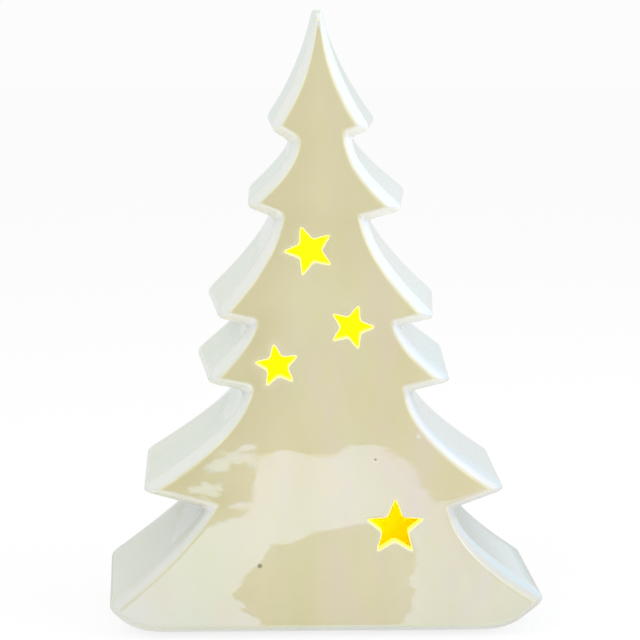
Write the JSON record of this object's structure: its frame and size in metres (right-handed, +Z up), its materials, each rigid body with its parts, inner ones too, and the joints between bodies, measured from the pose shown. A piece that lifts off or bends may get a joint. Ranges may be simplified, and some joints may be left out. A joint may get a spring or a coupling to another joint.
{
  "type": "lighted ceramic tree ornament",
  "caption": "Hollow glazed ceramic fir tree with star windows in its flat face, lit from inside by a plug-in lamp unit with button cells, a switch and a battery door.",
  "frame": {"origin": "middle of the tree's width and depth, on the surface that the foot pads rest on", "axes": "+Z up to the top of the tree, X across the face, -Y the way the face with the star windows looks"},
  "size_m": [0.1844, 0.062, 0.2542],
  "materials": {
    "pearl_glaze": "glossy cream glaze with a faint pearl lustre",
    "pad_rubber": "matt foam rubber",
    "housing_plastic": "moulded, fine texture",
    "ring_silicone": "soft silicone",
    "dome_plastic": "frosted, lets light through",
    "board_green": "solder resist",
    "lamp_lens": "clear tinted resin, lit",
    "tinned_wire": "tinned",
    "resistor_coat": "dipped coating with colour bands",
    "switch_black": "moulded",
    "cell_steel": "nickel plated, satin",
    "contact_brass": "plain sheet brass",
    "screw_steel": "zinc plated"
  },
  "bodies": {
    "tree": {"tree_shell": "pearl_glaze", "foot_pads": "pad_rubber"},
    "light_unit": {"unit_base": "housing_plastic", "unit_cap": "housing_plastic", "grip_ring": "ring_silicone", "dome": "dome_plastic", "circuit_board": "board_green", "lamp_a": "lamp_lens", "lamp_b": "lamp_lens", "lamp_c": "lamp_lens", "lamp_d": "lamp_lens", "lamp_legs": "tinned_wire", "resistor": "resistor_coat", "resistor_legs": "tinned_wire", "switch_body": "switch_black", "switch_pins": "tinned_wire", "contact_single": "contact_brass", "contact_top_bridge": "contact_brass", "contact_side": "contact_brass", "housing_screws": "screw_steel"},
    "switch_knob": {"switch_knob": "switch_black"},
    "battery_door": {"battery_door": "housing_plastic", "contact_door_bridge": "contact_brass"},
    "door_screw": {"door_screw": "screw_steel"},
    "cell_a": {"cell_a": "cell_steel"},
    "cell_b": {"cell_b": "cell_steel"},
    "cell_c": {"cell_c": "cell_steel"}
  },
  "joints": [
    {"name": "light_unit_pull", "type": "slide", "parent": "tree", "child": "light_unit", "axis": [0, 0, -1], "range_m": [0, 0.042]},
    {"name": "switch_slide", "type": "slide", "parent": "light_unit", "child": "switch_knob", "axis": [0, 1, 0], "range_m": [-0.0022, 0]},
    {"name": "battery_door_pull", "type": "slide", "parent": "light_unit", "child": "battery_door", "axis": [0, 0, -1], "range_m": [0, 0.024]},
    {"name": "door_screw_turn", "type": "hinge", "parent": "battery_door", "child": "door_screw", "pos_m": [-0.017, 0.0012, 0.0018], "axis": [0, 0, 1], "continuous": true},
    {"name": "cell_a_drop", "type": "slide", "parent": "light_unit", "child": "cell_a", "axis": [0, 0, -1], "range_m": [0, 0.012]},
    {"name": "cell_b_drop", "type": "slide", "parent": "light_unit", "child": "cell_b", "axis": [0, 0, -1], "range_m": [0, 0.012]},
    {"name": "cell_c_drop", "type": "slide", "parent": "light_unit", "child": "cell_c", "axis": [0, 0, -1], "range_m": [0, 0.012]}
  ],
  "couplings": [
    {"joint": "cell_a_drop", "follows": "battery_door_pull", "ratio": 0.5},
    {"joint": "cell_b_drop", "follows": "battery_door_pull", "ratio": 0.5},
    {"joint": "cell_c_drop", "follows": "battery_door_pull", "ratio": 0.5}
  ]
}
